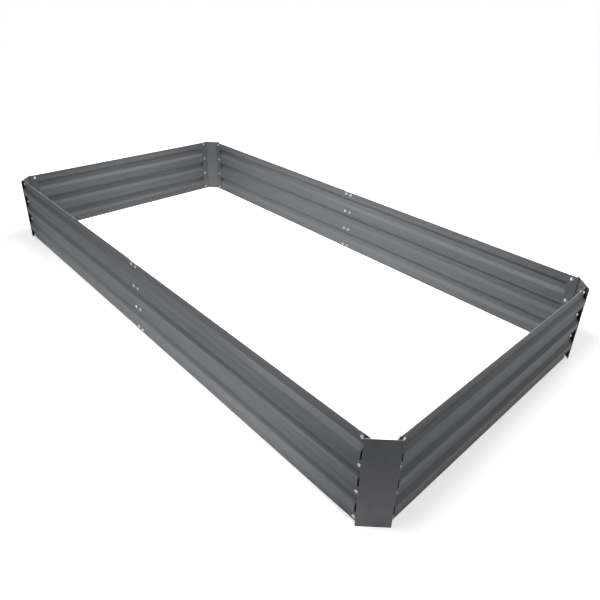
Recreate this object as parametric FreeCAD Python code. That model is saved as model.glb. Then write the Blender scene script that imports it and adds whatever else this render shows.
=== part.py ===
import FreeCAD, Part
import math
import os

# Raised garden bed: six ridged sheet-steel panels bolted to four folded corner pieces.
# Millimetres.  The origin is at the middle of the footprint, on the ground.  X runs along
# the two long sides, Y across the bed and Z up.  The front long side is the one at -Y.

# ---- Overall size, measured over the outermost faces of the ridges ------------------------
BED_LENGTH = 2400.0
BED_WIDTH = 1200.0
BED_HEIGHT = 305.0

# ---- Ridged panels --------------------------------------------------------------------------
PANEL_SHEET = 0.8            # thickness of the panel steel
RIDGE_COUNT = 3              # ridges pressed outward, one above the other
RIDGE_DEPTH = 12.0           # from the face of a valley to the face of a ridge
RIDGE_FLAT = 24.0            # height of the flat on top of a ridge
RIDGE_SLOPE = 15.0           # height that each slanted side of a ridge takes up
RIDGE_BEND = 4.0             # bend radius in the middle of the sheet
PANEL_END_GAP = 7.0          # from the end of a panel to the edge of the corner face
LAP_LENGTH = 60.0            # how far the two panels of a long side lie on each other
LAP_CLEARANCE = 0.1          # spare room between the nested ridges of a lap

# ---- Folded hem along the top of each panel ---------------------------------------------------
HEM_HEIGHT = 8.0             # how far the fold comes down on the inside
HEM_GAP = 0.6                # left open between the two leaves of a fold
HEM_CLEARANCE = 3.0          # from the end of the hem to the joint that it stops short of
HEM_NOTCH = 2.0              # how much lower the plain edge is where there is no hem

# ---- Corner pieces --------------------------------------------------------------------------
CORNER_SHEET = 1.0           # thickness of the corner steel
CORNER_CUT = 66.0            # from the square corner back to each edge of the slanted face
CORNER_FOLD_GAP = 0.6        # left open where the sheet is folded back behind the face
CORNER_BEND = 1.5            # bend radius in the middle of the sheet, at the flange
FLANGE_REACH = 28.0          # from the edge of the slanted face to the free edge of a flange

# ---- Bolts, washers and nuts --------------------------------------------------------------
BOLT_DIAMETER = 6.0
BOLT_LENGTH = 12.0           # under the head
HEAD_DIAMETER = 12.0
HEAD_HEIGHT = 4.6
HEAD_RIM = 1.6               # straight side of the head below its dome
RECESS_LENGTH = 6.6          # cross recess for the screwdriver
RECESS_WIDTH = 1.7
RECESS_DEPTH = 2.4
WASHER_DIAMETER = 12.5
WASHER_THICKNESS = 1.2
NUT_ACROSS_FLATS = 10.0
NUT_THICKNESS = 5.0
NUT_CHAMFER = 0.8            # how far the outer corners of the nut are turned down
HOLE_CLEARANCE = 0.5         # all round the bolt, in the sheets and in the washer
THREAD_CLEARANCE = 0.05      # all round the bolt, in the nut
ROW_MARGIN = 13.0            # from the top and bottom edges to the nearest row of bolts
CORNER_BOLT_SETBACK = 15.0   # from the edge of the corner face to the bolts
LAP_BOLT_SPACING = 30.0      # between the two columns of bolts in a lap
DRILL_OVERRUN = 2.0          # how far a drill starts before a sheet and ends behind it

# ---- Worked out from the sizes above ---------------------------------------------------------
ROW_PITCH = (BED_HEIGHT - 2 * ROW_MARGIN) / RIDGE_COUNT
BOLT_ROWS = [ROW_MARGIN + ROW_PITCH * row for row in range(RIDGE_COUNT + 1)]
PLAIN_TOP = BED_HEIGHT - HEM_NOTCH
VALLEY_INNER = RIDGE_DEPTH + PANEL_SHEET            # inner face of a valley, behind the ridges
FLANGE_INNER = VALLEY_INNER + CORNER_SHEET          # inner face of a flange, behind the valley
SLOPE_ANGLE = math.atan2(RIDGE_DEPTH, RIDGE_SLOPE)
NEST_OFFSET = PANEL_SHEET / math.cos(SLOPE_ANGLE) + LAP_CLEARANCE
LAP_COLUMNS = [-LAP_BOLT_SPACING / 2, LAP_BOLT_SPACING / 2]
HOLE_RADIUS = BOLT_DIAMETER / 2 + HOLE_CLEARANCE

UP = FreeCAD.Vector(0, 0, 1)
INWARD = FreeCAD.Vector(0, 1, 0)      # from the front side into the bed
CENTRE = FreeCAD.Vector(0, 0, 0)
SAME_POINT = 1e-6                     # two points nearer than this are one


# ---- Bent sheet ------------------------------------------------------------------------------
def heading(start, end):
    """Unit direction from one flat point to another."""
    run_u = end[0] - start[0]
    run_v = end[1] - start[1]
    length = math.hypot(run_u, run_v)
    return run_u / length, run_v / length


def bend_arc(before, corner, after, radius, offset):
    """Start, middle and end of a bend, on the line at this offset to the left of the path."""
    in_u, in_v = heading(before, corner)
    out_u, out_v = heading(corner, after)
    turn = math.atan2(in_u * out_v - in_v * out_u, in_u * out_u + in_v * out_v)
    side = math.copysign(1.0, turn)
    tangent = radius * math.tan(abs(turn) / 2)
    centre_u = corner[0] - in_u * tangent - in_v * side * radius
    centre_v = corner[1] - in_v * tangent + in_u * side * radius
    reach = radius - side * offset
    first_angle = math.atan2(-in_u * side, in_v * side)
    angles = [first_angle, first_angle + turn / 2, first_angle + turn]
    return [(centre_u + reach * math.cos(angle), centre_v + reach * math.sin(angle))
            for angle in angles]


def sheet_side(path, bends, offset, place):
    """Edges of one side of a bent strip, and that side's two end points."""
    start_u, start_v = heading(path[0], path[1])
    end_u, end_v = heading(path[-2], path[-1])
    start = place(path[0][0] - start_v * offset, path[0][1] + start_u * offset)
    end = place(path[-1][0] - end_v * offset, path[-1][1] + end_u * offset)
    edges = []
    last = start
    for before, corner, after, radius in zip(path, path[1:], path[2:], bends):
        arc = [place(u, v) for u, v in bend_arc(before, corner, after, radius, offset)]
        if last.distanceToPoint(arc[0]) > SAME_POINT:
            edges.append(Part.LineSegment(last, arc[0]).toShape())
        edges.append(Part.Arc(*arc).toShape())
        last = arc[-1]
    edges.append(Part.LineSegment(last, end).toShape())
    return edges, start, end


def bent_sheet(path, bends, thickness, place, along):
    """Solid strip of sheet that follows a path of its middle line, extruded along a vector."""
    left, left_start, left_end = sheet_side(path, bends, thickness / 2, place)
    right, right_start, right_end = sheet_side(path, bends, -thickness / 2, place)
    ends = [
        Part.LineSegment(left_start, right_start).toShape(),
        Part.LineSegment(left_end, right_end).toShape(),
    ]
    outline = Part.Wire(Part.__sortEdges__(left + right + ends))
    return Part.Face(outline).extrude(along)


# ---- Ridged panel, built as a part of the front side ---------------------------------------
def ridge_path():
    """Middle line of the panel's section, from the ground to the plain top edge."""
    valley = RIDGE_DEPTH + PANEL_SHEET / 2
    crest = PANEL_SHEET / 2
    path = [(valley, 0.0)]
    for low_row, high_row in zip(BOLT_ROWS[:-1], BOLT_ROWS[1:]):
        middle = (low_row + high_row) / 2
        path.append((valley, middle - RIDGE_FLAT / 2 - RIDGE_SLOPE))
        path.append((crest, middle - RIDGE_FLAT / 2))
        path.append((crest, middle + RIDGE_FLAT / 2))
        path.append((valley, middle + RIDGE_FLAT / 2 + RIDGE_SLOPE))
    path.append((valley, PLAIN_TOP))
    return path


def panel_blank(start, end, hem_start, hem_end):
    """Ridged sheet from start to end along X, with its hem, before the bolt holes."""
    path = ridge_path()
    body = bent_sheet(path, [RIDGE_BEND] * (len(path) - 2), PANEL_SHEET,
                      lambda y, z: FreeCAD.Vector(start, y, z),
                      FreeCAD.Vector(end - start, 0, 0))
    valley = path[-1][0]
    hem_pitch = PANEL_SHEET + HEM_GAP
    fold_top = BED_HEIGHT - PANEL_SHEET / 2
    hem_path = [
        (valley, PLAIN_TOP),
        (valley, fold_top),
        (valley + hem_pitch, fold_top),
        (valley + hem_pitch, BED_HEIGHT - HEM_HEIGHT),
    ]
    hem = bent_sheet(hem_path, [hem_pitch / 2] * 2, PANEL_SHEET,
                     lambda y, z: FreeCAD.Vector(hem_start, y, z),
                     FreeCAD.Vector(hem_end - hem_start, 0, 0))
    return body.fuse(hem).removeSplitter()


def drills(columns, near_face, far_face):
    """Cylinders that cut the bolt holes of each row, right through a sheet between two faces."""
    depth = far_face - near_face + 2 * DRILL_OVERRUN
    tools = []
    for column in columns:
        for row in BOLT_ROWS:
            start = FreeCAD.Vector(column, near_face - DRILL_OVERRUN, row)
            tools.append(Part.makeCylinder(HOLE_RADIUS, depth, start, INWARD))
    return Part.Compound(tools)


# ---- Fasteners, built with the head towards +Z ---------------------------------------------
def bolt():
    """Domed bolt with a cross recess: the underside of its head is at Z = 0."""
    edge = HEAD_DIAMETER / 2
    rise = HEAD_HEIGHT - HEAD_RIM
    dome = (edge ** 2 + rise ** 2) / (2 * rise)
    half_angle = math.asin(edge / dome) / 2
    dome_centre = HEAD_HEIGHT - dome
    on_dome = FreeCAD.Vector(dome * math.sin(half_angle), 0,
                             dome_centre + dome * math.cos(half_angle))
    rim = FreeCAD.Vector(edge, 0, HEAD_RIM)
    top = FreeCAD.Vector(0, 0, HEAD_HEIGHT)
    section = Part.Wire([
        Part.LineSegment(CENTRE, FreeCAD.Vector(edge, 0, 0)).toShape(),
        Part.LineSegment(FreeCAD.Vector(edge, 0, 0), rim).toShape(),
        Part.Arc(rim, on_dome, top).toShape(),
        Part.LineSegment(top, CENTRE).toShape(),
    ])
    head = Part.Face(section).revolve(CENTRE, UP, 360)
    recess_floor = HEAD_HEIGHT - RECESS_DEPTH
    slot = Part.makeBox(RECESS_LENGTH, RECESS_WIDTH, HEAD_HEIGHT,
                        FreeCAD.Vector(-RECESS_LENGTH / 2, -RECESS_WIDTH / 2, recess_floor))
    cross_slot = slot.copy()
    cross_slot.rotate(CENTRE, UP, 90)
    shank = Part.makeCylinder(BOLT_DIAMETER / 2, BOLT_LENGTH, CENTRE, -UP)
    return head.fuse(shank).cut(Part.Compound([slot, cross_slot])).removeSplitter()


def washer():
    """Flat washer that hangs below Z = 0."""
    ring = Part.makeCylinder(WASHER_DIAMETER / 2, WASHER_THICKNESS, CENTRE, -UP)
    bore = Part.makeCylinder(HOLE_RADIUS, WASHER_THICKNESS, CENTRE, -UP)
    return ring.cut(bore)


def nut():
    """Hexagon nut that hangs below Z = 0, its corners turned down at the free end."""
    corner_radius = NUT_ACROSS_FLATS / math.sqrt(3)
    corners = []
    for side in range(7):
        angle = math.radians(60 * side)
        corners.append(FreeCAD.Vector(corner_radius * math.cos(angle),
                                      corner_radius * math.sin(angle), 0))
    hexagon = Part.Face(Part.makePolygon(corners)).extrude(-UP * NUT_THICKNESS)
    turned = Part.makeCylinder(corner_radius, NUT_THICKNESS - NUT_CHAMFER, CENTRE, -UP)
    cone = Part.makeCone(corner_radius, NUT_ACROSS_FLATS / 2 - NUT_CHAMFER / 2, NUT_CHAMFER,
                         -UP * (NUT_THICKNESS - NUT_CHAMFER), -UP)
    bore = Part.makeCylinder(BOLT_DIAMETER / 2 + THREAD_CLEARANCE, NUT_THICKNESS, CENTRE, -UP)
    return hexagon.common(turned.fuse(cone)).cut(bore)


def fastener_group(piece, columns, seat):
    """Copies of a fastener at each bolt hole of a joint, on the face at Y = seat."""
    copies = []
    for column in columns:
        for row in BOLT_ROWS:
            copy = piece.copy()
            copy.rotate(CENTRE, FreeCAD.Vector(1, 0, 0), 90)
            copy.translate(FreeCAD.Vector(column, seat, row))
            copies.append(copy)
    return Part.Compound(copies)


# ---- Corner piece, built at the corner where the front meets the right end ------------------
def corner_piece():
    """One folded sheet: flange, fold-back, slanted face, fold-back and flange.

    The square corner of the bed is at the origin and the slanted face lies on X - Y = -CUT.
    Each edge of the face is folded flat behind it and runs back to the plane of the flanges.
    """
    slant = math.sqrt(2)
    leaf_pitch = CORNER_SHEET + CORNER_FOLD_GAP
    face_line = -CORNER_CUT - CORNER_SHEET / 2 * slant
    fold_line = face_line - leaf_pitch / 2 * slant
    leaf_line = face_line - leaf_pitch * slant
    flange = VALLEY_INNER + CORNER_SHEET / 2
    fold_y = (leaf_pitch + CORNER_SHEET) / 2
    fold_x = fold_line + fold_y
    half_path = [
        (-CORNER_CUT - FLANGE_REACH, flange),
        (leaf_line + flange, flange),
        (fold_x - leaf_pitch / slant, fold_y),
        (fold_x, fold_y - leaf_pitch / slant),
    ]
    other_half = [(-y, -x) for x, y in reversed(half_path)]
    half_bends = [CORNER_BEND, leaf_pitch / 2, leaf_pitch / 2]
    piece = bent_sheet(half_path + other_half, half_bends + half_bends[::-1], CORNER_SHEET,
                       lambda x, y: FreeCAD.Vector(x, y, 0), UP * BED_HEIGHT)
    holes = drills([-CORNER_CUT - CORNER_BOLT_SETBACK], VALLEY_INNER, FLANGE_INNER)
    return piece.cut(holes).cut(holes.mirror(CENTRE, FreeCAD.Vector(1, 1, 0)))


# ---- One side of the bed ----------------------------------------------------------------------
# A side is built along X with its ridge tops on Y = 0 and the bed's inside at +Y.  Then it is
# turned about Z and moved out to its place.
def on_side(shape, turn, distance):
    """Turn a shape to its side of the bed and move it out from the centre."""
    placed = shape.copy()
    placed.translate(FreeCAD.Vector(0, -distance, 0))
    placed.rotate(CENTRE, UP, turn)
    return placed


def export(name, shape):
    """Write one node as a STEP file."""
    shape.exportStep("parts/" + name + ".step")


def export_joint(name, columns, head_seat, washer_seat, turn, distance):
    """Bolts, washers and nuts of one joint, at its columns of holes along X."""
    nut_seat = washer_seat + WASHER_THICKNESS
    for kind, piece, seat in (("bolts", BOLT, head_seat), ("washers", WASHER, washer_seat),
                              ("nuts", NUT, nut_seat)):
        group = fastener_group(piece, columns, seat)
        export(kind + "_" + name, on_side(group, turn, distance))


def end_side(side, turn, half_span, distance, plus_end, minus_end):
    """A short side: one panel from corner to corner."""
    panel_end = half_span - CORNER_CUT - PANEL_END_GAP
    hem_end = half_span - CORNER_CUT - FLANGE_REACH - HEM_CLEARANCE
    column = half_span - CORNER_CUT - CORNER_BOLT_SETBACK
    panel = panel_blank(-panel_end, panel_end, -hem_end, hem_end)
    panel = panel.cut(drills([-column, column], RIDGE_DEPTH, VALLEY_INNER))
    export("end_panel_" + side, on_side(panel, turn, distance))
    export_joint(side + "_" + plus_end, [column], RIDGE_DEPTH, FLANGE_INNER, turn, distance)
    export_joint(side + "_" + minus_end, [-column], RIDGE_DEPTH, FLANGE_INNER, turn, distance)


def long_side(side, turn, half_span, distance, plus_end, minus_end):
    """A long side: two equal panels that lap at the middle, the +X one outside.

    The overlapped panel springs inwards at the lap, by the sheet that lies on it.  It turns
    about the free edge of the flange that it is bolted to.
    """
    panel_end = half_span - CORNER_CUT - PANEL_END_GAP
    flange_edge = half_span - CORNER_CUT - FLANGE_REACH
    hem_end = flange_edge - HEM_CLEARANCE
    column = half_span - CORNER_CUT - CORNER_BOLT_SETBACK
    half_lap = LAP_LENGTH / 2
    hem_stop = half_lap + HEM_CLEARANCE
    spring = math.atan2(NEST_OFFSET, flange_edge - half_lap)

    def sprung(x):
        """How far inwards the overlapped panel has moved at this X."""
        return (x + flange_edge) * math.tan(spring)

    outer = panel_blank(-half_lap, panel_end, hem_stop, hem_end)
    outer = outer.cut(drills(LAP_COLUMNS + [column], RIDGE_DEPTH, VALLEY_INNER))
    inner = panel_blank(-panel_end, half_lap, -hem_end, -hem_stop)
    inner.rotate(FreeCAD.Vector(-flange_edge, VALLEY_INNER, 0), UP, math.degrees(spring))
    inner_face = VALLEY_INNER + sprung(half_lap)
    inner = inner.cut(drills([-column] + LAP_COLUMNS, RIDGE_DEPTH, inner_face))
    export("panel_" + side + "_" + plus_end, on_side(outer, turn, distance))
    export("panel_" + side + "_" + minus_end, on_side(inner, turn, distance))

    sprung_seat = RIDGE_DEPTH + sprung(-column - HEAD_DIAMETER / 2)
    lap_washer_seat = VALLEY_INNER + sprung(max(LAP_COLUMNS) + WASHER_DIAMETER / 2)
    export_joint(side + "_" + plus_end, [column], RIDGE_DEPTH, FLANGE_INNER, turn, distance)
    export_joint(side + "_" + minus_end, [-column], sprung_seat, FLANGE_INNER, turn, distance)
    export_joint(side + "_middle", LAP_COLUMNS, RIDGE_DEPTH, lap_washer_seat, turn, distance)


# ---- The whole bed ---------------------------------------------------------------------------
os.makedirs("parts", exist_ok=True)
BOLT = bolt()
WASHER = washer()
NUT = nut()

long_side("front", 0, BED_LENGTH / 2, BED_WIDTH / 2, "right", "left")
end_side("right", 90, BED_WIDTH / 2, BED_LENGTH / 2, "rear", "front")
long_side("rear", 180, BED_LENGTH / 2, BED_WIDTH / 2, "left", "right")
end_side("left", 270, BED_WIDTH / 2, BED_LENGTH / 2, "front", "rear")

CORNER = corner_piece()
for corner_name, turn, x_side, y_side in (("front_right", 0, 1, -1), ("rear_right", 90, 1, 1),
                                          ("rear_left", 180, -1, 1), ("front_left", 270, -1, -1)):
    corner = CORNER.copy()
    corner.rotate(CENTRE, UP, turn)
    corner.translate(FreeCAD.Vector(x_side * BED_LENGTH / 2, y_side * BED_WIDTH / 2, 0))
    export("corner_" + corner_name, corner)
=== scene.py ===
import bpy
import bmesh
import math
import random
from mathutils import Matrix, Vector


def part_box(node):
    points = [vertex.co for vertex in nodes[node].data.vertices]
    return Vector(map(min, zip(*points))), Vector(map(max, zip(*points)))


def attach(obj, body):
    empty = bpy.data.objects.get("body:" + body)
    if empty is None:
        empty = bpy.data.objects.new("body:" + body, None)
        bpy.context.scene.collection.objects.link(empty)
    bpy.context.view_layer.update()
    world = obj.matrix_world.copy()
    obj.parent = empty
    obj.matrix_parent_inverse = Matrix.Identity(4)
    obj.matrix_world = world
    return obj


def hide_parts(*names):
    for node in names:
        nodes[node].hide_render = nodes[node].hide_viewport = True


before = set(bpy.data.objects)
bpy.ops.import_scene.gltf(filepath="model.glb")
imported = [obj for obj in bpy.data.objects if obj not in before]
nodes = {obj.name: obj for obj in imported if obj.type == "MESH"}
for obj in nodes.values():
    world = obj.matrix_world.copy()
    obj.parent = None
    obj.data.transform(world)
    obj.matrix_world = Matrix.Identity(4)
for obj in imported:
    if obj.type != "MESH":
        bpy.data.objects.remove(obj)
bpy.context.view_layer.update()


# ---- Ridged panels --------------------------------------------------------------------------
# Six sheets of coil-coated steel, 0.8 mm thick, rolled into three ridges and hemmed along the
# top.  The coating is a dark grey satin paint, and only a trace of zinc shows at the cut ends.
PANEL_COLOUR = (0.1140, 0.1230, 0.1300, 1)
PANEL_SHADE = (0.0880, 0.0955, 0.1015, 1)
END_COLOUR = (0.1150, 0.1200, 0.1250, 1)
END_SHADE = (0.0885, 0.0930, 0.0975, 1)
# Pale colour for dust, and for painted bounce light that lightens the sheets near the ground
DUST_AND_BOUNCE_COLOUR = (0.30, 0.295, 0.285, 1)
BARE_ZINC = (0.55, 0.55, 0.56, 1)
HEM_CROWN = 0.3022            # above this height only the fold of the hem is left
FOLD_WEAR = 0.55              # how bare the top of the fold is rubbed
FOLD_WEAR_RISE = 0.0008       # height over which that rubbing comes up
PAINT_ROUGH = (0.58, 0.51)    # roughness between the rolled bands and on them
DUST_ROUGHENING = 0.10
BARE_SMOOTHING = 0.15         # how much smoother bare zinc is than the paint
BARE_METALLIC = 0.8
PAINT_IOR = 1.28
PEEL_DEPTH = 0.00006          # of the orange peel in the paint
PEEL_STRENGTH = 0.5


def add_node(tree, kind, **settings):
    """A node of this kind, with its settings."""
    node = tree.nodes.new(kind)
    for name, value in settings.items():
        setattr(node, name, value)
    return node


def feed(tree, source, target):
    """Lead an output into an input, or set the input to a plain value."""
    if isinstance(source, bpy.types.NodeSocket):
        tree.links.new(source, target)
    else:
        target.default_value = source


def maths(tree, operation, first, second=0.0, clamp=False):
    """Output of a Math node on two inputs."""
    node = add_node(tree, "ShaderNodeMath", operation=operation, use_clamp=clamp)
    feed(tree, first, node.inputs[0])
    feed(tree, second, node.inputs[1])
    return node.outputs[0]


def ramp(tree, value, start, end, low=0.0, high=1.0):
    """Smooth step of a value: low at start and high at end."""
    node = add_node(tree, "ShaderNodeMapRange", interpolation_type="SMOOTHSTEP")
    for socket, source in (("Value", value), ("From Min", start), ("From Max", end),
                           ("To Min", low), ("To Max", high)):
        feed(tree, source, node.inputs[socket])
    return node.outputs["Result"]


def noise(tree, vector, scale, detail=2.0, roughness=0.5):
    """Output of a Noise texture at this many cells to the metre."""
    node = add_node(tree, "ShaderNodeTexNoise")
    feed(tree, vector, node.inputs["Vector"])
    node.inputs["Scale"].default_value = scale
    node.inputs["Detail"].default_value = detail
    node.inputs["Roughness"].default_value = roughness
    return node.outputs["Fac"]


def stretched(tree, vector, scale):
    """A vector scaled along each axis, which stretches the pattern that reads it."""
    node = add_node(tree, "ShaderNodeMapping")
    feed(tree, vector, node.inputs["Vector"])
    node.inputs["Scale"].default_value = scale
    return node.outputs["Vector"]


def blended(tree, share, first, second):
    """Mix of two colours."""
    node = add_node(tree, "ShaderNodeMix", data_type="RGBA")
    feed(tree, share, node.inputs["Factor"])
    feed(tree, first, node.inputs["A"])
    feed(tree, second, node.inputs["B"])
    return node.outputs["Result"]


def open_group(name, inputs, outputs):
    """An empty node group with these sockets, and its two end nodes."""
    group = bpy.data.node_groups.new(name, "ShaderNodeTree")
    for socket, kind in inputs:
        group.interface.new_socket(socket, in_out="INPUT", socket_type="NodeSocket" + kind)
    for socket, kind in outputs:
        group.interface.new_socket(socket, in_out="OUTPUT", socket_type="NodeSocket" + kind)
    return group, add_node(group, "NodeGroupInput"), add_node(group, "NodeGroupOutput")


def place_group(tree, group, **inputs):
    """A node group placed in a material, with its inputs filled."""
    node = add_node(tree, "ShaderNodeGroup", node_tree=group)
    for name, value in inputs.items():
        feed(tree, value, node.inputs[name])
    return node.outputs


# Rolling leaves soft bands, streaks and fine lines along the sheet.  The vector comes in
# stretched, so that one cell of it is long along the run.
ROLLING_MARKS, marks_in, marks_out = open_group(
    "rolling_marks", [("Run", "Vector")],
    [("Band", "Float"), ("Streak", "Float"), ("Line", "Float")])
for mark, cells in (("Band", 9.0), ("Streak", 48.0), ("Line", 170.0)):
    feed(ROLLING_MARKS, noise(ROLLING_MARKS, marks_in.outputs["Run"], cells, 2.5, 0.55),
         marks_out.inputs[mark])

# The paint itself: a fine orange peel and a speckle.
COAT_GRAIN, grain_in, grain_out = open_group(
    "coat_grain", [("Place", "Vector")], [("Speckle", "Float"), ("Height", "Float")])
feed(COAT_GRAIN, noise(COAT_GRAIN, grain_in.outputs["Place"], 1500.0, 2.0, 0.7),
     grain_out.inputs["Speckle"])
feed(COAT_GRAIN, noise(COAT_GRAIN, grain_in.outputs["Place"], 420.0, 3.0),
     grain_out.inputs["Height"])

# Lighter colour from the ground up to a height: dust splashed up together with painted bounce light
# from the floor.  Light dust also lies on faces that look up.
DUST_AND_BOUNCE, dust_bounce_in, dust_bounce_out = open_group(
    "dust_and_painted_bounce", [("Place", "Vector"), ("Normal", "Vector"), ("Height", "Float")],
    [("Mask", "Float")])
dust_place = add_node(DUST_AND_BOUNCE, "ShaderNodeSeparateXYZ")
feed(DUST_AND_BOUNCE, dust_bounce_in.outputs["Place"], dust_place.inputs[0])
dust_facing = add_node(DUST_AND_BOUNCE, "ShaderNodeSeparateXYZ")
feed(DUST_AND_BOUNCE, dust_bounce_in.outputs["Normal"], dust_facing.inputs[0])
dust_and_bounce_low = ramp(DUST_AND_BOUNCE, dust_place.outputs["Z"], dust_bounce_in.outputs["Height"], 0.0)
dust_ledge = ramp(DUST_AND_BOUNCE, dust_facing.outputs["Z"], 0.2, 0.9, 0.0, 0.4)
dust_cloud = ramp(DUST_AND_BOUNCE, noise(DUST_AND_BOUNCE, dust_bounce_in.outputs["Place"], 22.0, 5.0, 0.65),
                  0.25, 0.75, 0.6, 1.1)
dust_and_bounce_sum = maths(DUST_AND_BOUNCE, "ADD", dust_and_bounce_low, dust_ledge)
feed(DUST_AND_BOUNCE, maths(DUST_AND_BOUNCE, "MULTIPLY", dust_and_bounce_sum, dust_cloud, clamp=True),
     dust_bounce_out.inputs["Mask"])

# Bare metal where the sheet was cut across an axis, broken up a little by noise.
CUT_EDGE, edge_in, edge_out = open_group(
    "cut_edge", [("Place", "Vector"), ("Normal", "Vector"), ("Across", "Vector")],
    [("Mask", "Float")])
edge_dot = add_node(CUT_EDGE, "ShaderNodeVectorMath", operation="DOT_PRODUCT")
feed(CUT_EDGE, edge_in.outputs["Normal"], edge_dot.inputs[0])
feed(CUT_EDGE, edge_in.outputs["Across"], edge_dot.inputs[1])
edge_facing = ramp(CUT_EDGE, maths(CUT_EDGE, "ABSOLUTE", edge_dot.outputs["Value"]), 0.90, 0.97)
edge_patch = ramp(CUT_EDGE, noise(CUT_EDGE, edge_in.outputs["Place"], 260.0, 2.0),
                  0.25, 0.45, 0.55, 1.0)
feed(CUT_EDGE, maths(CUT_EDGE, "MULTIPLY", edge_facing, edge_patch), edge_out.inputs["Mask"])


def coated_steel(name, colour, shade, run, cut_across, cut_shine, fold_height, dust_and_bounce_height, dust_and_bounce_share):
    """Satin paint on zinc-coated sheet.  run stretches the rolling marks, cut_across is the
    direction in which the sheet was cut off, and cut_shine is how much zinc that edge shows.
    Above fold_height the fold is rubbed bright.  The last two arguments give the height below which
    dust and painted floor bounce light lighten the paint, and how much of the paint they hide."""
    material = bpy.data.materials.new(name)
    material.use_nodes = True
    tree = material.node_tree
    paint = tree.nodes["Principled BSDF"]
    place = add_node(tree, "ShaderNodeTexCoord")
    spot, facing = place.outputs["Object"], place.outputs["Normal"]
    marks = place_group(tree, ROLLING_MARKS, Run=stretched(tree, spot, run))
    grain = place_group(tree, COAT_GRAIN, Place=spot)
    dust_bounce = place_group(tree, DUST_AND_BOUNCE, Place=spot, Normal=facing, Height=dust_and_bounce_height)
    cut = place_group(tree, CUT_EDGE, Place=spot, Normal=facing, Across=cut_across)

    # Where the fold is rubbed
    height = add_node(tree, "ShaderNodeSeparateXYZ")
    feed(tree, spot, height.inputs[0])
    up = add_node(tree, "ShaderNodeSeparateXYZ")
    feed(tree, facing, up.inputs[0])
    crown = ramp(tree, height.outputs["Z"], fold_height, fold_height + FOLD_WEAR_RISE)
    crown = maths(tree, "MULTIPLY", crown, ramp(tree, up.outputs["Z"], 0.5, 0.85))
    bare = maths(tree, "MAXIMUM", maths(tree, "MULTIPLY", cut["Mask"], cut_shine),
                 maths(tree, "MULTIPLY", crown, FOLD_WEAR))

    # Colour: rolled marks and speckle between two greys, then dust with painted floor bounce light,
    # then bare zinc
    tone = maths(tree, "ADD", ramp(tree, marks["Band"], 0.3, 0.7, 0.0, 0.4),
                 ramp(tree, marks["Streak"], 0.35, 0.65, 0.0, 0.5))
    tone = maths(tree, "ADD", tone, ramp(tree, marks["Line"], 0.35, 0.65, -0.15, 0.20))
    tone = maths(tree, "ADD", tone, ramp(tree, grain["Speckle"], 0.3, 0.7, -0.10, 0.22),
                 clamp=True)
    painted = blended(tree, tone, shade, colour)
    dust_bounce_mixed = blended(tree, maths(tree, "MULTIPLY", dust_bounce["Mask"], dust_and_bounce_share), painted, DUST_AND_BOUNCE_COLOUR)
    feed(tree, blended(tree, bare, dust_bounce_mixed, BARE_ZINC), paint.inputs["Base Color"])

    # Sheen
    rough = maths(tree, "ADD", ramp(tree, marks["Band"], 0.3, 0.7, *PAINT_ROUGH),
                  maths(tree, "MULTIPLY", dust_bounce["Mask"], DUST_ROUGHENING))
    feed(tree, maths(tree, "SUBTRACT", rough, maths(tree, "MULTIPLY", bare, BARE_SMOOTHING)),
         paint.inputs["Roughness"])
    feed(tree, maths(tree, "MULTIPLY", bare, BARE_METALLIC), paint.inputs["Metallic"])
    paint.inputs["IOR"].default_value = PAINT_IOR

    # Orange peel
    peel = add_node(tree, "ShaderNodeBump")
    peel.inputs["Distance"].default_value = PEEL_DEPTH
    peel.inputs["Strength"].default_value = PEEL_STRENGTH
    feed(tree, grain["Height"], peel.inputs["Height"])
    feed(tree, peel.outputs["Normal"], paint.inputs["Normal"])
    return material


# The last two values set how high and how strongly dust and painted floor bounce light lighten each
# paint.
LONG_PANEL_STEEL = coated_steel(
    "panel_steel_long", PANEL_COLOUR, PANEL_SHADE, run=(0.03, 1.0, 1.0), cut_across=(1, 0, 0),
    cut_shine=0.15, fold_height=HEM_CROWN, dust_and_bounce_height=0.20, dust_and_bounce_share=0.09)
END_PANEL_STEEL = coated_steel(
    "panel_steel_end", END_COLOUR, END_SHADE, run=(1.0, 0.03, 1.0), cut_across=(0, 1, 0),
    cut_shine=0.15, fold_height=HEM_CROWN, dust_and_bounce_height=0.12, dust_and_bounce_share=0.03)


def finish_nodes(words, material):
    """Give the CAD pieces whose names start with one of these words their material."""
    for name, piece in nodes.items():
        if name.startswith(words):
            piece.material_slots[0].material = material


finish_nodes(("panel_front", "panel_rear"), LONG_PANEL_STEEL)
finish_nodes(("end_panel",), END_PANEL_STEEL)


# ---- Corner pieces --------------------------------------------------------------------------
# Four strips of 1 mm sheet with the same paint, folded to a slanted face with a bolting flange
# at each side.  The sheet stands with its cut edges up and down, and the top one shows bright.
CORNER_COLOUR = (0.1000, 0.1035, 0.1160, 1)
CORNER_SHADE = (0.0920, 0.0950, 0.1070, 1)
# Near black painted shade on the covered flanges, which darkens the slits at the ridge ends
SLIT_PAINTED_SHADE = (0.008, 0.008, 0.009, 1)
NO_FOLD = 1.0                 # higher than the bed, so nothing is rubbed
FLANGE_FACE = {"X": 1.1872, "Y": 0.5872}      # outer face of a flange, from the bed's middle
SLIT_SHADE_FULL = 0.003           # the painted shade is whole up to here, out from the flange's face, and gone from here on
SLIT_SHADE_END = 0.006            # and gone from here on
# The corners take the most dust and painted floor bounce light near the ground.
CORNER_STEEL = coated_steel(
    "corner_steel", CORNER_COLOUR, CORNER_SHADE, run=(1.0, 1.0, 0.10), cut_across=(0, 0, 1),
    cut_shine=0.3, fold_height=NO_FOLD, dust_and_bounce_height=0.29, dust_and_bounce_share=0.24)

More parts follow.
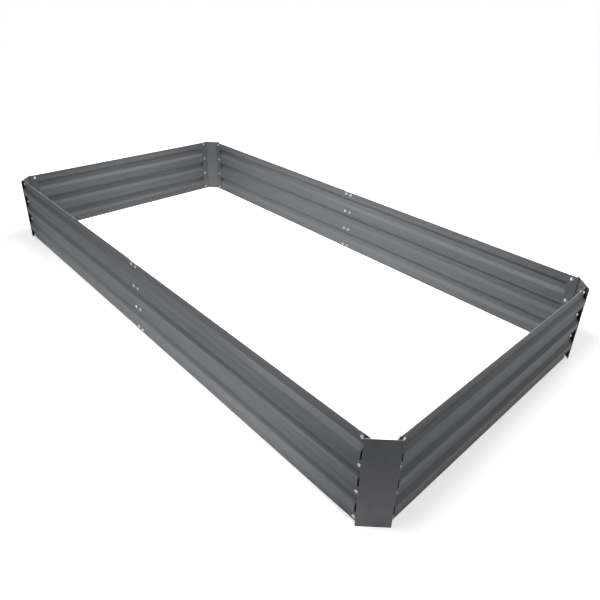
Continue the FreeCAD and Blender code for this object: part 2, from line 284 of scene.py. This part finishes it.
# The flanges are painted near black where the panels cover them: painted shade for the dark slits
# between the ridge ends and the corner plates.
SLIT_SHADE_GROUP, cover_in, cover_out = open_group(
    "covered_flange_painted_shade", [("Place", "Vector"), ("Normal", "Vector")], [("Mask", "Float")])
cover_place = add_node(SLIT_SHADE_GROUP, "ShaderNodeSeparateXYZ")
feed(SLIT_SHADE_GROUP, cover_in.outputs["Place"], cover_place.inputs[0])
cover_facing = add_node(SLIT_SHADE_GROUP, "ShaderNodeSeparateXYZ")
feed(SLIT_SHADE_GROUP, cover_in.outputs["Normal"], cover_facing.inputs[0])
covered = []
for axis, flange_face in FLANGE_FACE.items():
    across = cover_place.outputs[axis]
    outward = maths(SLIT_SHADE_GROUP, "MULTIPLY", maths(SLIT_SHADE_GROUP, "SIGN", across),
                    cover_facing.outputs[axis])
    behind = ramp(SLIT_SHADE_GROUP, maths(SLIT_SHADE_GROUP, "ABSOLUTE", across),
                  flange_face + SLIT_SHADE_END, flange_face + SLIT_SHADE_FULL)
    covered.append(maths(SLIT_SHADE_GROUP, "MULTIPLY", behind, ramp(SLIT_SHADE_GROUP, outward, 0.8, 0.95)))
feed(SLIT_SHADE_GROUP, maths(SLIT_SHADE_GROUP, "MAXIMUM", *covered), cover_out.inputs["Mask"])

# Mix that painted shade into the corner paint.
steel = CORNER_STEEL.node_tree
steel_place = steel.nodes["Texture Coordinate"].outputs
steel_paint = steel.nodes["Principled BSDF"].inputs["Base Color"]
slit_shade = place_group(steel, SLIT_SHADE_GROUP, Place=steel_place["Object"], Normal=steel_place["Normal"])
feed(steel, blended(steel, slit_shade["Mask"], steel_paint.links[0].from_socket, SLIT_PAINTED_SHADE),
     steel_paint)
finish_nodes(("corner_",), CORNER_STEEL)


# ---- Bolts ----------------------------------------------------------------------------------
# Zinc-plated steel bolts, 6 mm, with a domed head and a cross recess.  They go in from outside
# through panel and corner flange, and their rolled thread runs up to the head.
HEAD_RADIUS = 0.0060
HEAD_HEIGHT = 0.0046
HEAD_RIM = 0.0016             # straight side of the head below its dome
RIM_ROUNDING = 0.0003
DOME_RISE = HEAD_HEIGHT - HEAD_RIM
DOME_RADIUS = (HEAD_RADIUS ** 2 + DOME_RISE ** 2) / (2 * DOME_RISE)
THREAD_RADIUS = 0.0030
THREAD_ROOT = 0.00042         # half the width of the thread where it meets the core
THREAD_CREST = 0.00006        # half its width at the top
THREAD_SINK = 0.0001          # how far its root reaches into the core
CORE_RADIUS = 0.00245
THREAD_PITCH = 0.0010
SHANK_LENGTH = 0.0120
TIP_CHAMFER = 0.0006
RECESS_REACH = 0.0033         # from the middle to the end of an arm of the cross
RECESS_HALF = 0.00085         # half the width of an arm
RECESS_DEPTH = 0.0024
RECESS_TAPER = (0.45, 0.75)   # length and width left at the bottom of the recess
RECESS_SUNK = 0.0002          # a face this far below the dome is inside the recess
HEAD_STEPS = 40
THREAD_STEPS = 14
DOME_STEPS = 7
SMOOTH_ANGLE = 32             # degrees, above which an edge stays sharp
# Dark colour painted as shade into the cross recess, and how much of it is used
RECESS_PAINTED_SHADE = (0.05, 0.05, 0.05, 1)
RECESS_SHADE_SHARE = 0.85
SCRATCH_DEPTH = 0.00003
SCRATCH_STRENGTH = 0.6


def spun(points, steps):
    """Mesh of a line of (radius, height) points turned about the Z axis."""
    shape = bmesh.new()
    corners = [shape.verts.new((radius, 0, height)) for radius, height in points]
    line = [shape.edges.new(pair) for pair in zip(corners, corners[1:])]
    bmesh.ops.spin(shape, geom=corners + line, cent=(0, 0, 0), axis=(0, 0, 1), angle=2 * math.pi,
                   steps=steps, use_merge=True)
    bmesh.ops.remove_doubles(shape, verts=shape.verts, dist=1e-6)
    bmesh.ops.recalc_face_normals(shape, faces=shape.faces)
    return shape


def as_piece(shape, name):
    """A new piece from a bmesh."""
    mesh = bpy.data.meshes.new(name)
    shape.to_mesh(mesh)
    shape.free()
    piece = bpy.data.objects.new(name, mesh)
    bpy.context.scene.collection.objects.link(piece)
    return piece


def head_line():
    """Half section of the bolt's head and core, from the top of the dome to the tip."""
    widest = math.asin(HEAD_RADIUS / DOME_RADIUS)
    angles = [widest * step / DOME_STEPS for step in range(DOME_STEPS)]
    dome = [(DOME_RADIUS * math.sin(angle),
             HEAD_HEIGHT - DOME_RADIUS + DOME_RADIUS * math.cos(angle)) for angle in angles]
    rim = [(HEAD_RADIUS - RIM_ROUNDING, HEAD_RIM + RIM_ROUNDING / 2),
           (HEAD_RADIUS, HEAD_RIM - RIM_ROUNDING / 2),
           (HEAD_RADIUS, RIM_ROUNDING / 2),
           (HEAD_RADIUS - RIM_ROUNDING / 2, 0)]
    core = [(CORE_RADIUS, 0),
            (CORE_RADIUS, -SHANK_LENGTH + TIP_CHAMFER),
            (CORE_RADIUS - TIP_CHAMFER, -SHANK_LENGTH),
            (0, -SHANK_LENGTH)]
    return dome + rim + core


def cross_recess():
    """Cutter for the cross recess: two tapered blades."""
    shape = bmesh.new()
    for turn in (0, math.pi / 2):
        blade = bmesh.ops.create_cube(shape, size=2.0)["verts"]
        bmesh.ops.scale(shape, vec=(RECESS_REACH, RECESS_HALF, RECESS_DEPTH), verts=blade)
        for corner in blade:
            if corner.co.z < 0:
                corner.co.x *= RECESS_TAPER[0]
                corner.co.y *= RECESS_TAPER[1]
        bmesh.ops.translate(shape, vec=(0, 0, HEAD_HEIGHT), verts=blade)
        bmesh.ops.rotate(shape, cent=(0, 0, 0), matrix=Matrix.Rotation(turn, 3, "Z"), verts=blade)
    return shape


def thread_coil():
    """The thread's ridge, wound up the shank."""
    shape = bmesh.new()
    ridge = [(CORE_RADIUS - THREAD_SINK, -THREAD_ROOT), (THREAD_RADIUS, -THREAD_CREST),
             (THREAD_RADIUS, THREAD_CREST), (CORE_RADIUS - THREAD_SINK, THREAD_ROOT)]
    corners = [shape.verts.new((radius, 0, height)) for radius, height in ridge]
    section = shape.faces.new(corners)
    turns = (SHANK_LENGTH - TIP_CHAMFER) / THREAD_PITCH - 1
    steps = round(turns * THREAD_STEPS)
    bmesh.ops.spin(shape, geom=[section], cent=(0, 0, 0), axis=(0, 0, 1), angle=2 * math.pi * turns,
                   steps=steps, dvec=(0, 0, THREAD_PITCH / THREAD_STEPS))
    bmesh.ops.translate(shape, vec=(0, 0, -SHANK_LENGTH + TIP_CHAMFER + THREAD_PITCH / 2),
                        verts=shape.verts)
    bmesh.ops.recalc_face_normals(shape, faces=shape.faces)
    return shape


def bolt_mesh():
    """One bolt with its head towards +Z and the underside of the head at Z = 0.  The faces of its
    recess carry 1 in the attribute recess, which the plating darkens as painted shade."""
    head = as_piece(spun(head_line(), HEAD_STEPS), "bolt_head")
    cutter = as_piece(cross_recess(), "bolt_cutter")
    cut = head.modifiers.new("recess", "BOOLEAN")
    cut.operation = "DIFFERENCE"
    cut.solver = "EXACT"
    cut.use_self = True
    cut.object = cutter
    bpy.context.view_layer.update()
    whole = bmesh.new()
    whole.from_mesh(bpy.data.meshes.new_from_object(
        head.evaluated_get(bpy.context.evaluated_depsgraph_get())))
    recess_shade = whole.faces.layers.float.new("recess")
    for face in whole.faces:
        middle = face.calc_center_median()
        reach = math.hypot(middle.x, middle.y)
        surface = (HEAD_HEIGHT - DOME_RADIUS
                   + math.sqrt(DOME_RADIUS ** 2 - min(reach, HEAD_RADIUS) ** 2))
        in_head = middle.z > RIM_ROUNDING and reach < RECESS_REACH
        if in_head and surface - middle.z > RECESS_SUNK:
            face[recess_shade] = 1.0
    coil = as_piece(thread_coil(), "bolt_thread")
    whole.from_mesh(coil.data)
    for helper in (head, cutter, coil):
        bpy.data.objects.remove(helper)
    mesh = bpy.data.meshes.new("bolt")
    whole.to_mesh(mesh)
    whole.free()
    return mesh


def plated_zinc(name, colour, dull, rough):
    """Zinc plating between a bright colour and a dull one, with fine scratches, and painted shade
    in the recess.  rough is its roughness where it is bright."""
    material = bpy.data.materials.new(name)
    material.use_nodes = True
    tree = material.node_tree
    metal = tree.nodes["Principled BSDF"]
    metal.inputs["Metallic"].default_value = 1.0
    spot = add_node(tree, "ShaderNodeTexCoord").outputs["Object"]
    cloud = noise(tree, spot, 350.0, 4.0, 0.6)
    grain = place_group(tree, COAT_GRAIN, Place=spot)
    plated = blended(tree, ramp(tree, cloud, 0.3, 0.7), dull, colour)
    recess = add_node(tree, "ShaderNodeAttribute", attribute_name="recess").outputs["Fac"]
    # Painted shade in the recess
    recess_shade = maths(tree, "MULTIPLY", recess, RECESS_SHADE_SHARE)
    feed(tree, blended(tree, recess_shade, plated, RECESS_PAINTED_SHADE), metal.inputs["Base Color"])
    feed(tree, ramp(tree, cloud, 0.25, 0.75, rough + 0.1, rough), metal.inputs["Roughness"])
    wear = add_node(tree, "ShaderNodeBump")
    wear.inputs["Distance"].default_value = SCRATCH_DEPTH
    wear.inputs["Strength"].default_value = SCRATCH_STRENGTH
    feed(tree, grain["Speckle"], wear.inputs["Height"])
    feed(tree, wear.outputs["Normal"], metal.inputs["Normal"])
    return material


BOLT_ZINC = plated_zinc("bolt_zinc_plate", colour=(0.52, 0.52, 0.53, 1),
                        dull=(0.36, 0.36, 0.37, 1), rough=0.26)
SIDE_TURN = {"front": 0, "right": 90, "rear": 180, "left": 270}
BOLT_ROWS = 4
BOLT = bolt_mesh()
wrist = random.Random(6)      # each bolt was driven to its own turn


def joint_spots(node):
    """Where the bolts of a joint sit: the point under each head, and the turn of their side."""
    turn = math.radians(SIDE_TURN[node.split("_")[1]])
    back = Matrix.Rotation(-turn, 4, "Z")
    low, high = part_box(node)
    ends = [back @ low, back @ high]
    left = min(end.x for end in ends) + HEAD_RADIUS
    right = max(end.x for end in ends) - HEAD_RADIUS
    seat = min(end.y for end in ends) + HEAD_HEIGHT
    bottom = low.z + HEAD_RADIUS
    top = high.z - HEAD_RADIUS
    columns = [left] if right - left < HEAD_RADIUS else [left, right]
    heights = [bottom + (top - bottom) * row / (BOLT_ROWS - 1) for row in range(BOLT_ROWS)]
    spots = [Vector((column, seat, height)) for column in columns for height in heights]
    return spots, Matrix.Rotation(turn, 4, "Z")


LYING = Matrix.Rotation(math.pi / 2, 4, "X")
for name in sorted(nodes):
    if name.startswith("bolts_"):
        group = bmesh.new()
        spots, turn = joint_spots(name)
        for spot in spots:
            driven = Matrix.Rotation(wrist.uniform(0, math.pi / 2), 4, "Z")
            copy = BOLT.copy()
            copy.transform(turn @ Matrix.Translation(spot) @ LYING @ driven)
            group.from_mesh(copy)
            bpy.data.meshes.remove(copy)
        bolts = as_piece(group, "dressed_" + name)
        bolts.data.materials.append(BOLT_ZINC)
        bolts.data.shade_smooth()
        bolts.data.set_sharp_from_angle(angle=math.radians(SMOOTH_ANGLE))
        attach(bolts, "root")
        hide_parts(name)


# ---- Washers and nuts -----------------------------------------------------------------------
# Inside the bed each bolt has a stamped washer and a hexagon nut of the same plated steel.
# They are rougher than the heads, so they shine less.
WASHER_ZINC = plated_zinc("washer_zinc_plate", colour=(0.66, 0.66, 0.66, 1),
                          dull=(0.50, 0.50, 0.51, 1), rough=0.34)
NUT_ZINC = plated_zinc("nut_zinc_plate", colour=(0.70, 0.70, 0.70, 1),
                       dull=(0.52, 0.52, 0.53, 1), rough=0.30)
finish_nodes(("washers_",), WASHER_ZINC)
finish_nodes(("nuts_",), NUT_ZINC)


# ---- Floor ----------------------------------------------------------------------------------
# A plain pale studio floor.  The camera sees it brighter than its paint, so that it meets the
# white background without a line, but less so close to the bed, where it takes the shadow.
FLOOR_REACH = 60.0
FLOOR_SHADE = 0.80
NEAR_GLOW = 0.60
FAR_GLOW = 0.84
GLOW_FADE = (0.10, 0.70)      # distance from the bed over which the glow comes up
BED_HALF = {"X": 1.2, "Y": 0.6}


def white_to_rays(tree):
    """1 for the rays that show the background: camera, glossy and transmission; else 0."""
    path = add_node(tree, "ShaderNodeLightPath").outputs
    seen = maths(tree, "MAXIMUM", path["Is Camera Ray"], path["Is Glossy Ray"])
    return maths(tree, "MAXIMUM", seen, path["Is Transmission Ray"])


floor_shape = bmesh.new()
bmesh.ops.create_grid(floor_shape, x_segments=1, y_segments=1, size=FLOOR_REACH)
floor = as_piece(floor_shape, "studio_floor")
floor_paint = bpy.data.materials.new("floor_white")
floor_paint.use_nodes = True
floor_tree = floor_paint.node_tree
floor_tree.nodes.remove(floor_tree.nodes["Principled BSDF"])
floor_matt = add_node(floor_tree, "ShaderNodeBsdfDiffuse")
floor_matt.inputs["Color"].default_value = (FLOOR_SHADE, FLOOR_SHADE, FLOOR_SHADE, 1)
floor_glow = add_node(floor_tree, "ShaderNodeEmission")
floor_spot = add_node(floor_tree, "ShaderNodeTexCoord").outputs["Object"]
floor_place = add_node(floor_tree, "ShaderNodeSeparateXYZ")
feed(floor_tree, floor_spot, floor_place.inputs[0])
away = []
for axis, half in BED_HALF.items():
    across = maths(floor_tree, "ABSOLUTE", floor_place.outputs[axis])
    away.append(maths(floor_tree, "SUBTRACT", across, half))
glow = ramp(floor_tree, maths(floor_tree, "MAXIMUM", *away), *GLOW_FADE, NEAR_GLOW, FAR_GLOW)
feed(floor_tree, maths(floor_tree, "MULTIPLY", white_to_rays(floor_tree), glow),
     floor_glow.inputs["Strength"])
floor_sum = add_node(floor_tree, "ShaderNodeAddShader")
feed(floor_tree, floor_matt.outputs[0], floor_sum.inputs[0])
feed(floor_tree, floor_glow.outputs[0], floor_sum.inputs[1])
feed(floor_tree, floor_sum.outputs[0], floor_tree.nodes["Material Output"].inputs["Surface"])
floor.data.materials.append(floor_paint)


# ---- Studio light ---------------------------------------------------------------------------
# An even white room and soft lamps.  Strips hang above the top edge of each long side, one
# stands low in front of the foot, three light the inside, and low ones face the other sides.
AMBIENT = 0.20                # what the room gives off as light; it looks full white
world = bpy.data.worlds.new("white_room")
bpy.context.scene.world = world
world.use_nodes = True
room = world.node_tree
room_wall = room.nodes["Background"].inputs
room_wall["Color"].default_value = (1, 1, 1, 1)
feed(room, ramp(room, white_to_rays(room), 0.0, 1.0, AMBIENT, 1.0), room_wall["Strength"])


def soft_lamp(name, place, aim, width, height, power, spread=180):
    """A rectangular soft lamp that looks at a point: its size in metres, its power in watts,
    and the spread in degrees to which its light is narrowed."""
    lamp = bpy.data.lights.new(name, "AREA")
    lamp.shape = "RECTANGLE"
    lamp.size = width
    lamp.size_y = height
    lamp.energy = power
    lamp.spread = math.radians(spread)
    holder = bpy.data.objects.new(name, lamp)
    holder.location = place
    holder.rotation_euler = (Vector(aim) - Vector(place)).to_track_quat("-Z", "Y").to_euler()
    holder.visible_camera = False
    bpy.context.scene.collection.objects.link(holder)


# name, place, aim, width, height, power, spread
soft_lamp("top_strip", (0.4, -0.65, 1.3), (0.4, -0.60, 0.25), 1.4, 0.05, 2.75, 70)
soft_lamp("near_top_strip", (0.9, -0.66, 1.0), (0.9, -0.60, 0.20), 0.5, 0.14, 1.1, 80)
soft_lamp("floor_pool", (0.1, -1.25, 1.6), (0.1, -0.95, 0), 1.6, 0.5, 1.9, 70)
soft_lamp("inside", (0.2, -0.4, 1.6), (0.2, 0.6, 0.1), 2.0, 0.4, 11, 70)
soft_lamp("inside_front", (-0.2, 0.4, 1.6), (-0.2, -0.6, 0.1), 2.0, 0.4, 6, 70)
soft_lamp("inside_left", (-0.5, -0.1, 1.6), (-1.2, 0.1, 0.1), 0.4, 0.8, 4, 70)
soft_lamp("foot_strip", (-0.05, -1.15, 0.12), (-0.05, -0.6, 0.035), 2.0, 0.06, 1.18, 60)
soft_lamp("corner_strip", (2.5, -1.9, 0.9), (1.17, -0.57, -0.10), 0.4, 0.12, 0.2, 40)
soft_lamp("right_low", (3.2, 0.4, 0.5), (1.2, 0, 0.1), 2.0, 0.5, 11)
soft_lamp("rear_top_strip", (-0.4, 0.65, 1.3), (-0.4, 0.60, 0.25), 1.4, 0.05, 2.6, 70)
soft_lamp("rear_low", (0, 3.2, 0.6), (0, 0.6, 0.1), 2.4, 0.5, 17)
soft_lamp("left_low", (-3.2, 0.4, 0.5), (-1.2, 0.4, 0.1), 1.6, 0.5, 8, 60)


# ---- Camera ---------------------------------------------------------------------------------
# It stands at the near corner, a little over a metre up, and looks along the bed.
camera = bpy.data.cameras.new("camera")
camera.sensor_width = 36.0
camera.lens = 32.71
camera.shift_x = -0.0033
camera.shift_y = -0.0788
camera_holder = bpy.data.objects.new("camera", camera)
camera_holder.location = (1.6980, -1.3669, 1.2581)
camera_holder.rotation_euler = [math.radians(turn) for turn in (63.173, -1.763, 46.891)]
bpy.context.scene.collection.objects.link(camera_holder)
bpy.context.scene.camera = camera_holder
bpy.context.scene.view_settings.view_transform = "Standard"
